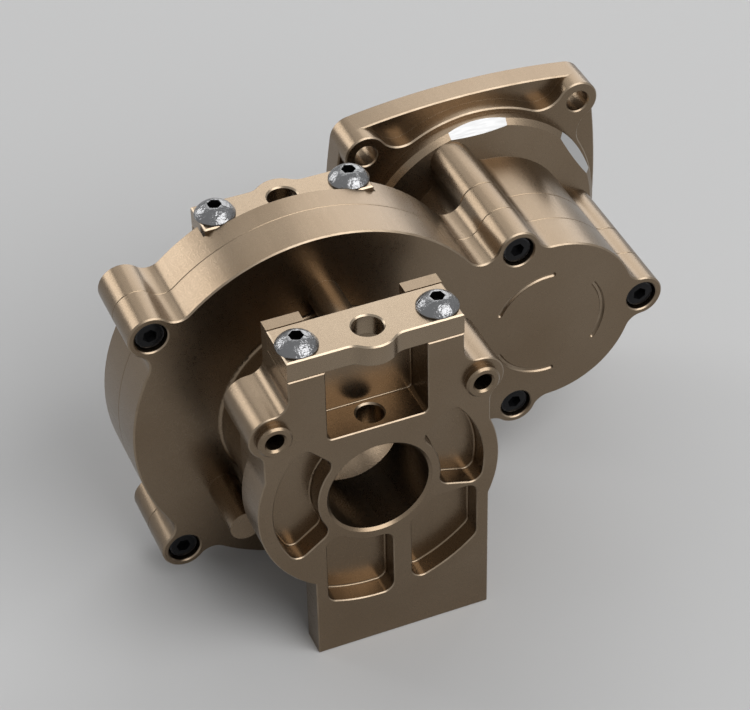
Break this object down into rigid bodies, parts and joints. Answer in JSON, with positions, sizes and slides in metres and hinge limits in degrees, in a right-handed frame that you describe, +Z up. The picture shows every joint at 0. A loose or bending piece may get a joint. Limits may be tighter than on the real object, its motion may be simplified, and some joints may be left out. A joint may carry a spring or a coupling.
{
  "type": "gearbox housing",
  "caption": "Two-part round gearbox case with a side lobe, slotted mounting brackets front and rear, link bars and a clutch bell with a square engine flange.",
  "frame": {"origin": "centre of the front bore where it opens in the front bracket's face", "axes": "+Y along the main bore into the case, +Z up towards the link bars, +X towards the lobe and the clutch bell"},
  "size_m": [0.1382, 0.0895, 0.0921],
  "materials": {
    "case_aluminium": "bronze anodised, satin",
    "bar_aluminium": "bronze anodised, satin",
    "bright_screw": "bright",
    "black_screw": "black oxide"
  },
  "bodies": {
    "root": {"front_housing": "case_aluminium", "rear_housing": "case_aluminium", "clutch_housing": "case_aluminium", "front_link_bar": "bar_aluminium", "rear_link_bar": "bar_aluminium", "bar_screw_front_left": "bright_screw", "bar_screw_front_right": "bright_screw", "bar_screw_rear_left": "bright_screw", "bar_screw_rear_right": "bright_screw", "case_screw_upper_left": "black_screw", "case_screw_lower_left": "black_screw", "lobe_screw_upper": "black_screw", "lobe_screw_end": "black_screw", "lobe_screw_lower": "black_screw"}
  },
  "joints": []
}
